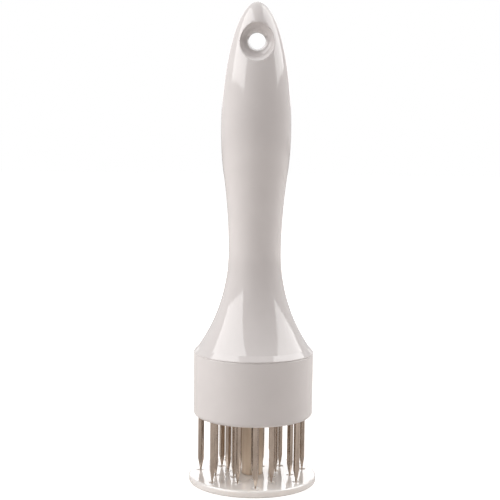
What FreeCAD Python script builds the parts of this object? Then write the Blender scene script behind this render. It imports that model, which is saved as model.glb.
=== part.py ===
import FreeCAD, Part

import math
import os

import Sketcher
from FreeCAD import Placement, Rotation, Vector

# Blade meat tenderizer, in millimetres and degrees, +Z up.
# The origin is the centre of the guard plate's underside, where the tool stands on the table.
# The front is -Y, and the hang hole runs along Y.

os.makedirs("parts", exist_ok=True)
doc = FreeCAD.newDocument("BladeTenderizer")

# ---------------------------------------------------------------------------------------------
# Driving dimensions
# ---------------------------------------------------------------------------------------------
driving = {
    # guard plate: the disc at the foot, which rides up the blades
    "plate_overhang": 1.75,
    "plate_thickness": 3.0,
    "plate_edge_round": 0.8,
    "plate_slot_clearance": 0.35,
    # stroke of the guard plate, and what is left to the collar at its end
    "press_travel": 25.0,
    "stroke_end_gap": 0.3,
    # collar: the cup that carries the blades
    "collar_radius": 25.0,
    "collar_height": 26.5,
    "collar_wall": 1.3,
    "collar_floor": 8.0,
    "collar_bottom_round": 1.8,
    "collar_top_round": 0.35,
    # bell rim: the handle's lower edge, which its shoulder keeps a fine groove above the collar
    "rim_groove": 0.2,
    "rim_groove_depth": 0.35,
    "rim_edge": 0.35,
    "rim_round": 0.4,
    "rim_bottom_round": 0.15,
    # handle outline, upwards from the rim: a lip that spreads more than the flare above it
    "lip_height": 2.05,
    "lip_width": 1.85,
    "flare_height": 39.6,
    "waist_radius": 10.9,
    "waist_to_grip": 50.0,
    "grip_radius": 14.5,
    "grip_curve": 119.0,
    "dome_height": 52.6,
    # inside of the handle
    "handle_wall": 3.2,
    "spring_seat_rise": 7.0,
    "core_radius": 4.2,
    "core_to_hole": 14.0,
    "spigot_clearance": 0.2,
    # hang hole near the top: a short round land that widens both ways, in a dish at each side
    "hang_hole_radius": 3.4,
    "hang_hole_drop": 15.8,
    "hang_hole_land": 4.0,
    "hang_hole_mouth_radius": 4.8,
    "hang_hole_mouth_round": 0.5,
    "dish_depth": 5.0,
    "dish_floor_radius": 6.1,
    "dish_wall_angle": 19.0,
    "dish_corner_round": 1.2,
    "dish_edge_round": 0.7,
    # screws that go up through the collar floor into the bell's bosses
    "screw_count": 3,
    "screw_boss_inset": 2.7,
    "screw_radius": 1.3,
    "screw_grip": 10.5,
    "screw_head_radius": 2.4,
    "screw_head_height": 1.8,
    "screw_head_sink": 2.5,
    "screw_hole_clearance": 0.15,
    "screw_head_clearance": 0.2,
    "screw_thread_clearance": 0.03,
    "screw_boss_radius": 2.5,
    "screw_boss_margin": 4.5,
    "screw_recess_width": 0.6,
    "screw_recess_length": 2.6,
    "screw_recess_depth": 1.0,
    # clamp disc on the blades' heads
    "clamp_thickness": 3.0,
    "clamp_edge_clearance": 0.3,
    # blades
    "blades_per_ring": 7,
    "ring_angle": 273.7,
    "outer_ring_inset": 2.8,
    "middle_ring_step": 6.2,
    "inner_ring_step": 5.6,
    "blade_width": 1.8,
    "blade_thickness": 2.0,
    "blade_turn_angle": -29.0,
    "blade_point_length": 5.6,
    "blade_point_width": 0.3,
    "blade_point_sink": 0.6,
    "blade_head_width": 3.0,
    "blade_head_height": 1.2,
    "blade_fit": 0.04,
    # guide post
    "post_radius": 4.5,
    "post_running_clearance": 0.06,
    "post_spring_guide": 20.0,
    "post_chamfer": 0.6,
    "post_hole_margin": 1.8,
    # retaining ring in the post's groove, and the washer on it
    "ring_stop_gap": 0.1,
    "ring_thickness": 1.0,
    "ring_width": 2.7,
    "ring_groove_depth": 0.7,
    "ring_groove_play": 0.05,
    "ring_opening": 5.0,
    "washer_thickness": 1.2,
    "washer_margin": 0.75,
    "washer_clearance": 0.1,
    # return spring
    "spring_wire": 1.1,
    "spring_post_clearance": 0.55,
    "spring_turns": 11,
    "spring_seat_gap": 0.05,
    # countersunk screw that holds the plate on the post
    "plate_screw_radius": 2.0,
    "plate_screw_length": 12.0,
    "plate_screw_head_radius": 3.6,
    "plate_screw_sink": 0.2,
    "plate_screw_clearance": 0.1,
    "plate_screw_thread_clearance": 0.05,
}

# ---------------------------------------------------------------------------------------------
# Levels and radii that follow from them
# ---------------------------------------------------------------------------------------------
derived = {
    "axis": "=0",
    # heights, from the table up
    "collar_bottom": "=Sizes.plate_thickness + Sizes.press_travel + Sizes.stroke_end_gap",
    "collar_top": "=collar_bottom + Sizes.collar_height",
    "floor_top": "=collar_bottom + Sizes.collar_floor",
    "clamp_top": "=floor_top + Sizes.clamp_thickness",
    "rim_bottom": "=collar_top + Sizes.rim_groove",
    "lip_bottom": "=rim_bottom + Sizes.rim_edge",
    "flare_bottom": "=lip_bottom + Sizes.lip_height",
    "waist_level": "=flare_bottom + Sizes.flare_height",
    "grip_level": "=waist_level + Sizes.waist_to_grip",
    "handle_top": "=grip_level + Sizes.dome_height",
    "hang_hole_level": "=handle_top - Sizes.hang_hole_drop",
    "hang_hole_rise": "=Sizes.dome_height - Sizes.hang_hole_drop",
    "dome_radius": "=Sizes.grip_radius * sqrt(1 - (hang_hole_rise / Sizes.dome_height)^2)",
    "hang_land_end": "=Sizes.hang_hole_land / 2",
    "dish_floor": "=dome_radius - Sizes.dish_depth",
    "dish_end": "=Sizes.grip_radius",
    "dish_end_radius": "=Sizes.dish_floor_radius + (dish_end - dish_floor) * tan(Sizes.dish_wall_angle)",
    "spring_seat": "=waist_level + Sizes.spring_seat_rise",
    "core_top": "=hang_hole_level - Sizes.core_to_hole",
    "core_shoulder": "=core_top - Sizes.core_radius",
    # outline of the handle: a flare that meets the waist upright, then two arcs that meet
    # smoothly, then half an ellipsoid
    "flare_radius": "=Sizes.collar_radius - Sizes.lip_width",
    "flare_spread": "=flare_radius - Sizes.waist_radius",
    "flare_curve": "=(flare_spread^2 + Sizes.flare_height^2) / (2 * flare_spread)",
    "grip_spread": "=Sizes.grip_radius - Sizes.waist_radius",
    "both_curves": "=(Sizes.waist_to_grip^2 + grip_spread^2) / (2 * grip_spread)",
    "waist_curve": "=both_curves - Sizes.grip_curve",
    "blend_level": "=waist_level + Sizes.waist_to_grip * waist_curve / both_curves",
    "blend_radius": "=Sizes.waist_radius + grip_spread * waist_curve / both_curves",
    # inside of the bell, one wall in from the flare
    "bore_radius": "=Sizes.waist_radius - Sizes.handle_wall",
    "inner_curve": "=flare_curve + Sizes.handle_wall",
    "bell_inner_radius": "=Sizes.waist_radius + flare_curve - sqrt(inner_curve^2 - Sizes.flare_height^2)",
    # plate, collar, spigot and clamp disc
    "plate_radius": "=Sizes.collar_radius + Sizes.plate_overhang",
    "collar_inner_radius": "=Sizes.collar_radius - Sizes.collar_wall",
    "spigot_radius": "=collar_inner_radius - Sizes.spigot_clearance",
    "shoulder_radius": "=Sizes.collar_radius - Sizes.rim_groove_depth",
    "clamp_radius": "=collar_inner_radius - Sizes.clamp_edge_clearance",
    # blades: three rings, of which the middle one stands half a step round
    "blade_pitch": "=360 / Sizes.blades_per_ring",
    "outer_ring_angle": "=Sizes.ring_angle",
    "middle_ring_angle": "=Sizes.ring_angle + blade_pitch / 2",
    "inner_ring_angle": "=Sizes.ring_angle",
    "outer_ring_radius": "=Sizes.collar_radius - Sizes.outer_ring_inset",
    "middle_ring_radius": "=outer_ring_radius - Sizes.middle_ring_step",
    "inner_ring_radius": "=middle_ring_radius - Sizes.inner_ring_step",
    "blade_tip": "=Sizes.plate_thickness - Sizes.blade_point_sink",
    "point_top": "=blade_tip + Sizes.blade_point_length",
    "head_bottom": "=floor_top - Sizes.blade_head_height",
    # guide post, ring, washer and spring
    "post_bore_radius": "=Sizes.post_radius + Sizes.post_running_clearance",
    "ring_bottom": "=clamp_top + Sizes.ring_stop_gap",
    "ring_top": "=ring_bottom + Sizes.ring_thickness",
    "groove_bottom": "=ring_bottom - Sizes.ring_groove_play",
    "groove_top": "=ring_top + Sizes.ring_groove_play",
    "groove_radius": "=Sizes.post_radius - Sizes.ring_groove_depth",
    "ring_inner_radius": "=groove_radius + Sizes.ring_groove_play",
    "ring_outer_radius": "=ring_inner_radius + Sizes.ring_width",
    "post_top": "=ring_top + Sizes.post_spring_guide",
    "post_shoulder": "=post_top - Sizes.post_chamfer",
    "post_nose_radius": "=Sizes.post_radius - Sizes.post_chamfer",
    "washer_bore_radius": "=Sizes.post_radius + Sizes.washer_clearance",
    "washer_top": "=ring_top + Sizes.washer_thickness",
    "spring_coil_radius": "=Sizes.post_radius + Sizes.spring_post_clearance + Sizes.spring_wire / 2",
    "washer_radius": "=spring_coil_radius + Sizes.spring_wire / 2 + Sizes.washer_margin",
    "spring_bottom": "=washer_top + Sizes.spring_seat_gap + Sizes.spring_wire / 2",
    "spring_height": "=spring_seat - Sizes.spring_seat_gap - Sizes.spring_wire / 2 - spring_bottom",
    # screws
    "screw_circle": "=spigot_radius - Sizes.screw_boss_inset",
    "screw_boss_height": "=Sizes.screw_grip + Sizes.screw_boss_margin",
    "screw_head_bottom": "=collar_bottom + Sizes.screw_head_sink - Sizes.screw_head_height",
    "screw_head_top": "=collar_bottom + Sizes.screw_head_sink",
    "screw_length": "=clamp_top + Sizes.screw_grip - screw_head_top",
    "screw_hole_radius": "=Sizes.screw_radius + Sizes.screw_hole_clearance",
    "screw_head_hole_radius": "=Sizes.screw_head_radius + Sizes.screw_head_clearance",
    "screw_thread_hole_radius": "=Sizes.screw_radius + Sizes.screw_thread_clearance",
    "plate_screw_tip": "=Sizes.plate_screw_sink + Sizes.plate_screw_length",
    "plate_screw_neck": "=Sizes.plate_screw_sink + Sizes.plate_screw_head_radius - Sizes.plate_screw_radius",
    "plate_hole_radius": "=Sizes.plate_screw_radius + Sizes.plate_screw_clearance",
    "plate_sink_radius": "=Sizes.plate_screw_head_radius + Sizes.plate_screw_sink + Sizes.plate_screw_clearance",
    "plate_sink_depth": "=plate_sink_radius - plate_hole_radius",
    "post_hole_radius": "=Sizes.plate_screw_radius + Sizes.plate_screw_thread_clearance",
    "post_hole_depth": "=plate_screw_tip + Sizes.post_hole_margin - Sizes.plate_thickness",
}

rings = ("outer", "middle", "inner")

# each collar screw sits outside one blade of the middle ring, spread as evenly as these allow
screw_positions = [
    round(screw * driving["blades_per_ring"] / driving["screw_count"])
    for screw in range(driving["screw_count"])
]


def fill_sheet(name, cells):
    sheet = doc.addObject("Spreadsheet::Sheet", name)
    for row, (alias, content) in enumerate(cells.items(), start=1):
        sheet.set(f"A{row}", alias)
        sheet.set(f"B{row}", str(content))
        sheet.setAlias(f"B{row}", alias)
    doc.recompute()
    return sheet


sizes = fill_sheet("Sizes", driving)
levels = fill_sheet("Levels", derived)


def cell(alias):
    """The cell of this alias as an expression can name it."""
    return f"Sizes.{alias}" if alias in driving else f"Levels.{alias}"


def value(alias):
    """The number in the cell of this alias."""
    return float(getattr(sizes if alias in driving else levels, alias))


# ---------------------------------------------------------------------------------------------
# Bodies, sketches and features
# ---------------------------------------------------------------------------------------------
def new_body(label):
    body = doc.addObject("PartDesign::Body", label)
    body.Label = label
    return body


def origin_feature(body, role):
    return next(feature for feature in body.Origin.OriginFeatures if feature.Role == role)


def new_sketch(body, name, role="XY_Plane", level=None):
    sketch = body.newObject("Sketcher::SketchObject", f"{body.Label}_{name}")
    sketch.AttachmentSupport = [(origin_feature(body, role), "")]
    sketch.MapMode = "FlatFace"
    if level:
        sketch.setExpression("AttachmentOffset.Base.z", cell(level))
    return sketch


def place_sketch(sketch, radius, angle, turn="0"):
    """Moves a sketch out to a radius at an angle, turned with the angle and a further turn."""
    sketch.setExpression("AttachmentOffset.Base.x", f"{radius} * cos({angle})")
    sketch.setExpression("AttachmentOffset.Base.y", f"{radius} * sin({angle})")
    sketch.setExpression("AttachmentOffset.Rotation.Angle", f"{angle} + {turn}")


def bind(sketch, constraint, expression):
    index = sketch.addConstraint(constraint)
    sketch.setExpression(f"Constraints[{index}]", expression)


def draw_circle(sketch, radius):
    sketch.addGeometry(Part.Circle(Vector(0, 0, 0), Vector(0, 0, 1), value(radius)), False)
    sketch.addConstraint(Sketcher.Constraint("Coincident", 0, 3, -1, 1))
    bind(sketch, Sketcher.Constraint("Radius", 0, value(radius)), cell(radius))


def draw_rectangle(sketch, width, depth, width_size, depth_size):
    """Rectangle centred on the sketch's origin. width and depth are expressions."""
    x, y = width_size / 2, depth_size / 2
    corners = [Vector(-x, -y, 0), Vector(x, -y, 0), Vector(x, y, 0), Vector(-x, y, 0)]
    for i in range(4):
        sketch.addGeometry(Part.LineSegment(corners[i], corners[(i + 1) % 4]), False)
    for i in range(4):
        sketch.addConstraint(Sketcher.Constraint("Coincident", i, 2, (i + 1) % 4, 1))
    for i in range(4):
        sketch.addConstraint(Sketcher.Constraint("Horizontal" if i % 2 == 0 else "Vertical", i))
    sketch.addConstraint(Sketcher.Constraint("Symmetric", 0, 1, 1, 2, -1, 1))
    bind(sketch, Sketcher.Constraint("DistanceX", 0, 1, 0, 2, width_size), width)
    bind(sketch, Sketcher.Constraint("DistanceY", 1, 1, 1, 2, depth_size), depth)


def arc_between(start, end, radius, side):
    """Arc from start to end. side is 1 where its centre lies left of the way from start to end."""
    chord = end.sub(start)
    across = Vector(-chord.y, chord.x, 0).normalize()
    rise = math.sqrt(radius ** 2 - (chord.Length / 2) ** 2)
    centre = start.add(chord.multiply(0.5)).add(across.multiply(side * rise))
    angles = [math.atan2(point.y - centre.y, point.x - centre.x) for point in (start, end)]
    if side < 0:
        angles.reverse()
    return Part.ArcOfCircle(Part.Circle(centre, Vector(0, 0, 1), radius), *angles)


def quarter_ellipse(start, end):
    """Quarter of an upright ellipse, from its side up to its tip over the same centre."""
    centre = Vector(end.x, start.y, 0)
    other_side = Vector(2 * end.x - start.x, start.y, 0)
    ellipse = Part.Ellipse(end, other_side, centre)
    return Part.ArcOfEllipse(ellipse, 1.5 * math.pi, 2 * math.pi)


def draw_profile(sketch, corners, arcs=(), dome=None):
    """Closed outline through corners, each named by its radius and its height.

    arcs gives, for the number of the corner that an arc starts from, its radius and its side.
    dome is the number of the corner that a quarter of an ellipse starts from.
    """
    arcs = dict(arcs)
    points = [Vector(value(radius), value(height), 0) for radius, height in corners]
    ends = []
    for i, point in enumerate(points):
        following = points[(i + 1) % len(points)]
        if i == dome:
            sketch.addGeometry(quarter_ellipse(point, following), False)
            ends.append((1, 2))
        elif i in arcs:
            radius, side = arcs[i]
            sketch.addGeometry(arc_between(point, following, value(radius), side), False)
            ends.append((1, 2) if side > 0 else (2, 1))
        else:
            sketch.addGeometry(Part.LineSegment(point, following), False)
            ends.append((1, 2))
    for i in range(len(points)):
        after = (i + 1) % len(points)
        sketch.addConstraint(Sketcher.Constraint("Coincident", i, ends[i][1], after, ends[after][0]))
    for i, (radius, height) in enumerate(corners):
        across = Sketcher.Constraint("DistanceX", -1, 1, i, ends[i][0], value(radius))
        up = Sketcher.Constraint("DistanceY", -1, 1, i, ends[i][0], value(height))
        bind(sketch, across, cell(radius))
        bind(sketch, up, cell(height))
    for i, (radius, side) in arcs.items():
        bind(sketch, Sketcher.Constraint("Radius", i, value(radius)), cell(radius))
    if dome is not None:
        tip, side_level = corners[dome + 1][0], corners[dome][1]
        bind(sketch, Sketcher.Constraint("DistanceX", -1, 1, dome, 3, value(tip)), cell(tip))
        bind(sketch, Sketcher.Constraint("DistanceY", -1, 1, dome, 3, value(side_level)), cell(side_level))
        sketch.exposeInternalGeometry(dome)
        sketch.addConstraint(Sketcher.Constraint("Vertical", len(points)))


def add_feature(body, kind, name, profile, **settings):
    feature = body.newObject(f"PartDesign::{kind}", f"{body.Label}_{name}")
    feature.Profile = profile
    for setting, content in settings.items():
        if isinstance(content, str):
            feature.setExpression(setting, content)
        else:
            setattr(feature, setting, content)
    return feature


def revolve(body, name, sketch, kind="Revolution"):
    axis = (sketch, ["V_Axis"])
    return add_feature(body, kind, name, sketch, ReferenceAxis=axis, Angle=360.0)


def pad(body, name, sketch, length, downwards=False):
    return add_feature(body, "Pad", name, sketch, Length=length, Reversed=downwards)


def pocket(body, name, sketch, length, upwards=True):
    return add_feature(body, "Pocket", name, sketch, Length=length, Reversed=upwards)


def repeat_round(body, name, feature, count):
    """Repeats a feature round the Z axis."""
    pattern = body.newObject("PartDesign::PolarPattern", f"{body.Label}_{name}")
    pattern.Originals = [feature]
    pattern.Axis = (origin_feature(body, "Z_Axis"), [""])
    pattern.Angle = 360.0
    pattern.setExpression("Occurrences", count)
    body.Tip = pattern
    return pattern


def round_edges(body, name, feature, edges, radius):
    doc.recompute()
    names = [f"Edge{i}" for i, edge in enumerate(feature.Shape.Edges, start=1) if edges(edge)]
    fillet = body.newObject("PartDesign::Fillet", f"{body.Label}_{name}")
    fillet.Base = (feature, names)
    fillet.setExpression("Radius", cell(radius))
    return fillet


def same(first, second):
    return math.isclose(first, second, rel_tol=1e-5)


def circle_of(radius):
    """Picks the circular edges of this radius."""
    def picked(edge):
        is_circle = not edge.Degenerated and isinstance(edge.Curve, Part.Circle)
        return is_circle and same(edge.Curve.Radius, value(radius))
    return picked


def circle_at(radius, level):
    """Picks the circular edges of this radius at this level."""
    def picked(edge):
        return circle_of(radius)(edge) and same(edge.Curve.Center.z, value(level))
    return picked


def ring_angle(ring, position=0):
    """Expression for the angle of one blade of a ring."""
    return f"(Levels.{ring}_ring_angle + {position} * Levels.blade_pitch)"


def ring_radius(ring):
    return f"Levels.{ring}_ring_radius"


def cut_blade_slots(body, bottom, depth, clearance):
    """Cuts one slot for each blade, upwards from a level."""
    for ring in rings:
        sketch = new_sketch(body, f"{ring}_slot_outline", level=bottom)
        place_sketch(sketch, ring_radius(ring), ring_angle(ring), "Sizes.blade_turn_angle")
        draw_rectangle(
            sketch,
            f"Sizes.blade_width + 2 * {cell(clearance)}",
            f"Sizes.blade_thickness + 2 * {cell(clearance)}",
            value("blade_width") + 2 * value(clearance),
            value("blade_thickness") + 2 * value(clearance),
        )
        slot = pocket(body, f"{ring}_slot", sketch, depth)
        repeat_round(body, f"{ring}_slots", slot, "Sizes.blades_per_ring")


def cut_screw_holes(body, name, radius, bottom, depth):
    """Cuts a hole at each place of a collar screw, upwards from a level."""
    for position in screw_positions:
        sketch = new_sketch(body, f"{name}_outline_{position}", level=bottom)
        place_sketch(sketch, "Levels.screw_circle", ring_angle("middle", position))
        draw_circle(sketch, radius)
        pocket(body, f"{name}_{position}", sketch, depth)


# ---------------------------------------------------------------------------------------------
# Handle: grip, waist and bell in one moulding, with a spigot that goes down into the collar and
# a shoulder that stands on it
# ---------------------------------------------------------------------------------------------
def make_handle():
    body = new_body("handle")

    outline = new_sketch(body, "outline", "XZ_Plane")
    draw_profile(
        outline,
        [
            ("axis", "clamp_top"),
            ("spigot_radius", "clamp_top"),
            ("spigot_radius", "collar_top"),
            ("shoulder_radius", "collar_top"),
            ("shoulder_radius", "rim_bottom"),
            ("collar_radius", "rim_bottom"),
            ("collar_radius", "lip_bottom"),
            ("flare_radius", "flare_bottom"),
            ("waist_radius", "waist_level"),
            ("blend_radius", "blend_level"),
            ("grip_radius", "grip_level"),
            ("axis", "handle_top"),
        ],
        arcs={7: ("flare_curve", -1), 8: ("waist_curve", -1), 9: ("grip_curve", 1)},
        dome=10,
    )
    stem = revolve(body, "stem", outline)
    rim = round_edges(body, "rim_round", stem, circle_at("collar_radius", "lip_bottom"), "rim_round")
    round_edges(body, "rim_bottom_round", rim, circle_at("collar_radius", "rim_bottom"), "rim_bottom_round")

    # the cavity: the bell one wall thick, the spring's bore up to its seat, and a core above
    cavity_outline = new_sketch(body, "cavity_outline", "XZ_Plane")
    draw_profile(
        cavity_outline,
        [
            ("axis", "clamp_top"),
            ("bell_inner_radius", "clamp_top"),
            ("bell_inner_radius", "flare_bottom"),
            ("bore_radius", "waist_level"),
            ("bore_radius", "spring_seat"),
            ("core_radius", "spring_seat"),
            ("core_radius", "core_shoulder"),
            ("axis", "core_top"),
        ],
        arcs={2: ("inner_curve", -1), 6: ("core_radius", 1)},
    )
    revolve(body, "cavity", cavity_outline, "Groove")

    # bosses for the collar screws, along the inside of the spigot
    for position in screw_positions:
        boss_outline = new_sketch(body, f"boss_outline_{position}", level="clamp_top")
        place_sketch(boss_outline, "Levels.screw_circle", ring_angle("middle", position))
        draw_circle(boss_outline, "screw_boss_radius")
        pad(body, f"boss_{position}", boss_outline, cell("screw_boss_height"))
    cut_screw_holes(body, "boss_hole", "screw_thread_hole_radius", "clamp_top", cell("screw_boss_height"))

    # hang hole along Y: its rear half with the rear dish, then the same in front
    hole_outline = new_sketch(body, "hang_hole_outline", level="hang_hole_level")
    draw_profile(
        hole_outline,
        [
            ("axis", "axis"),
            ("hang_hole_radius", "axis"),
            ("hang_hole_radius", "hang_land_end"),
            ("hang_hole_mouth_radius", "dish_floor"),
            ("dish_floor_radius", "dish_floor"),
            ("dish_end_radius", "dish_end"),
            ("axis", "dish_end"),
        ],
    )
    rear = revolve(body, "hang_hole", hole_outline, "Groove")
    both = body.newObject("PartDesign::Mirrored", "handle_hang_holes")
    both.Originals = [rear]
    both.MirrorPlane = (origin_feature(body, "XZ_Plane"), [""])
    body.Tip = both

    def dish_edge(edge):
        """The edges where the dishes break through the dome."""
        if edge.Degenerated or not isinstance(edge.Curve, Part.BSplineCurve):
            return False
        level = value("hang_hole_level")
        reach = [math.hypot(point.x, point.z - level) for point in edge.discretize(9)]
        return value("dish_floor_radius") < min(reach) and max(reach) < value("dish_end_radius")

    corner = round_edges(body, "dish_corner", both, circle_of("dish_floor_radius"), "dish_corner_round")
    mouth = round_edges(
        body, "hang_hole_mouth", corner, circle_of("hang_hole_mouth_radius"), "hang_hole_mouth_round"
    )
    round_edges(body, "dish_edge", mouth, dish_edge, "dish_edge_round")
    return body


# ---------------------------------------------------------------------------------------------
# Collar: a cup whose thick floor guides the blades and the post
# ---------------------------------------------------------------------------------------------
def make_collar():
    body = new_body("collar")
    outline = new_sketch(body, "outline", level="collar_bottom")
    draw_circle(outline, "collar_radius")
    block = pad(body, "block", outline, cell("collar_height"))
    bottom = round_edges(
        body, "bottom_round", block, circle_at("collar_radius", "collar_bottom"), "collar_bottom_round"
    )
    round_edges(body, "top_round", bottom, circle_at("collar_radius", "collar_top"), "collar_top_round")

    cup = new_sketch(body, "cup_outline", level="floor_top")
    draw_circle(cup, "collar_inner_radius")
    pocket(body, "cup", cup, cell("collar_height"))

    bore = new_sketch(body, "post_bore_outline", level="collar_bottom")
    draw_circle(bore, "post_bore_radius")
    pocket(body, "post_bore", bore, cell("collar_floor"))

    cut_screw_holes(body, "screw_hole", "screw_hole_radius", "collar_bottom", cell("collar_floor"))
    cut_screw_holes(body, "screw_sink", "screw_head_hole_radius", "collar_bottom", cell("screw_head_sink"))
    cut_blade_slots(body, "collar_bottom", cell("collar_floor"), "blade_fit")

    # recesses in the top of the floor, which the blades' wider heads drop into
    for ring in rings:
        sketch = new_sketch(body, f"{ring}_recess_outline", level="head_bottom")
        place_sketch(sketch, ring_radius(ring), ring_angle(ring), "Sizes.blade_turn_angle")
        draw_rectangle(
            sketch,
            "Sizes.blade_width + 2 * Sizes.blade_fit",
            "Sizes.blade_head_width + 2 * Sizes.blade_fit",
            value("blade_width") + 2 * value("blade_fit"),
            value("blade_head_width") + 2 * value("blade_fit"),
        )
        recess = pocket(body, f"{ring}_recess", sketch, cell("blade_head_height"))
        repeat_round(body, f"{ring}_recesses", recess, "Sizes.blades_per_ring")
    return body


# ---------------------------------------------------------------------------------------------
# Clamp disc: lies on the blades' heads, held down by the bell's spigot
# ---------------------------------------------------------------------------------------------
def make_clamp_disc():
    body = new_body("clamp_disc")
    outline = new_sketch(body, "outline", level="floor_top")
    draw_circle(outline, "clamp_radius")
    pad(body, "disc", outline, cell("clamp_thickness"))
    bore = new_sketch(body, "post_bore_outline", level="floor_top")
    draw_circle(bore, "post_bore_radius")
    pocket(body, "post_bore", bore, cell("clamp_thickness"))
    cut_screw_holes(body, "screw_hole", "screw_hole_radius", "floor_top", cell("clamp_thickness"))
    return body


# ---------------------------------------------------------------------------------------------
# Blades: a straight shank, a four-sided point below and a wider head above
# ---------------------------------------------------------------------------------------------
def make_blade(ring, position):
    body = new_body(f"blade_{ring}_{position + 1}")
    angle = ring_angle(ring, position)
    body.setExpression("Placement.Base.x", f"{ring_radius(ring)} * cos({angle})")
    body.setExpression("Placement.Base.y", f"{ring_radius(ring)} * sin({angle})")
    body.setExpression("Placement.Rotation.Angle", f"{angle} + Sizes.blade_turn_angle")

    section = new_sketch(body, "section", level="point_top")
    draw_rectangle(
        section, cell("blade_width"), cell("blade_thickness"), value("blade_width"), value("blade_thickness")
    )
    pad(body, "shank", section, f"{cell('head_bottom')} - {cell('point_top')}")

    point_end = new_sketch(body, "point_end", level="blade_tip")
    draw_rectangle(
        point_end,
        cell("blade_point_width"),
        cell("blade_point_width"),
        value("blade_point_width"),
        value("blade_point_width"),
    )
    point = body.newObject("PartDesign::AdditiveLoft", f"{body.Label}_point")
    point.Profile = section
    point.Sections = [point_end]
    point.Ruled = True

    head_section = new_sketch(body, "head_section", level="head_bottom")
    draw_rectangle(
        head_section,
        cell("blade_width"),
        cell("blade_head_width"),
        value("blade_width"),
        value("blade_head_width"),
    )
    pad(body, "head", head_section, cell("blade_head_height"))
    return body


# ---------------------------------------------------------------------------------------------
# Guard plate: a disc with a slot for each blade, countersunk from below for its screw
# ---------------------------------------------------------------------------------------------
def make_guard_plate():
    body = new_body("guard_plate")
    outline = new_sketch(body, "outline")
    draw_circle(outline, "plate_radius")
    disc = pad(body, "disc", outline, cell("plate_thickness"))
    round_edges(body, "rim_round", disc, circle_of("plate_radius"), "plate_edge_round")
    hole = new_sketch(body, "screw_hole_outline")
    draw_circle(hole, "plate_hole_radius")
    pocket(body, "screw_hole", hole, cell("plate_thickness"))
    sink = new_sketch(body, "sink_outline", "XZ_Plane")
    draw_profile(
        sink, [("axis", "axis"), ("plate_sink_radius", "axis"), ("plate_hole_radius", "plate_sink_depth"),
               ("axis", "plate_sink_depth")]
    )
    revolve(body, "sink", sink, "Groove")
    cut_blade_slots(body, "axis", cell("plate_thickness"), "plate_slot_clearance")
    return body


# ---------------------------------------------------------------------------------------------
# Guide post: stands on the guard plate and slides in the collar, with a groove for its ring
# ---------------------------------------------------------------------------------------------
def make_guide_post():
    body = new_body("guide_post")
    outline = new_sketch(body, "outline", "XZ_Plane")
    draw_profile(
        outline,
        [
            ("axis", "plate_thickness"),
            ("post_radius", "plate_thickness"),
            ("post_radius", "groove_bottom"),
            ("groove_radius", "groove_bottom"),
            ("groove_radius", "groove_top"),
            ("post_radius", "groove_top"),
            ("post_radius", "post_shoulder"),
            ("post_nose_radius", "post_top"),
            ("axis", "post_top"),
        ],
    )
    revolve(body, "rod", outline)
    hole = new_sketch(body, "thread_outline", level="plate_thickness")
    draw_circle(hole, "post_hole_radius")
    pocket(body, "thread_hole", hole, cell("post_hole_depth"))
    return body


# ---------------------------------------------------------------------------------------------
# Small turned and stamped pieces
# ---------------------------------------------------------------------------------------------
def primitive(kind, name, level=None, **settings):
    """Part primitive whose settings are expressions, standing on a level."""
    piece = doc.addObject(f"Part::{kind}", name)
    for setting, expression in settings.items():
        piece.setExpression(setting, expression)
    if level:
        piece.setExpression("Placement.Base.z", level)
    return piece


def cut(name, base, tool):
    piece = doc.addObject("Part::Cut", name)
    piece.Base = base
    piece.Tool = tool
    return piece


def fuse(name, pieces):
    piece = doc.addObject("Part::MultiFuse", name)
    piece.Shapes = pieces
    return piece


def make_retaining_ring():
    """Flat ring, open on one side so that it snaps into the post's groove."""
    level = cell("ring_bottom")
    height = cell("ring_thickness")
    disc = primitive("Cylinder", "ring_disc", level, Radius=cell("ring_outer_radius"), Height=height)
    bore = primitive("Cylinder", "ring_bore", level, Radius=cell("ring_inner_radius"), Height=height)
    gap = primitive(
        "Box", "ring_gap", level,
        Length=cell("ring_outer_radius"), Width=cell("ring_opening"), Height=height,
    )
    gap.setExpression("Placement.Base.y", f"-{cell('ring_opening')} / 2")
    ring = cut("retaining_ring", cut("ring_round", disc, bore), gap)
    ring.Label = "retaining_ring"
    return ring


def make_spring_washer():
    level = cell("ring_top")
    height = cell("washer_thickness")
    disc = primitive("Cylinder", "washer_disc", level, Radius=cell("washer_radius"), Height=height)
    bore = primitive("Cylinder", "washer_bore", level, Radius=cell("washer_bore_radius"), Height=height)
    washer = cut("spring_washer", disc, bore)
    washer.Label = "spring_washer"
    return washer


def make_return_spring():
    """Open-coiled compression spring from the washer up to its seat in the handle."""
    helix = primitive(
        "Helix", "spring_path", cell("spring_bottom"),
        Radius=cell("spring_coil_radius"),
        Height=cell("spring_height"),
        Pitch=f"{cell('spring_height')} / {cell('spring_turns')}",
    )
    wire = primitive("Circle", "spring_section", cell("spring_bottom"), Radius=f"{cell('spring_wire')} / 2")
    wire.Placement = Placement(Vector(0, 0, 0), Rotation(Vector(1, 0, 0), 90))
    wire.setExpression("Placement.Base.x", cell("spring_coil_radius"))
    wire.setExpression("Placement.Base.z", cell("spring_bottom"))
    doc.recompute()
    spring = doc.addObject("Part::Sweep", "return_spring")
    spring.Label = "return_spring"
    spring.Sections = [wire]
    spring.Spine = (helix, [f"Edge{i + 1}" for i in range(len(helix.Shape.Edges))])
    spring.Solid = True
    spring.Frenet = True
    return spring


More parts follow.
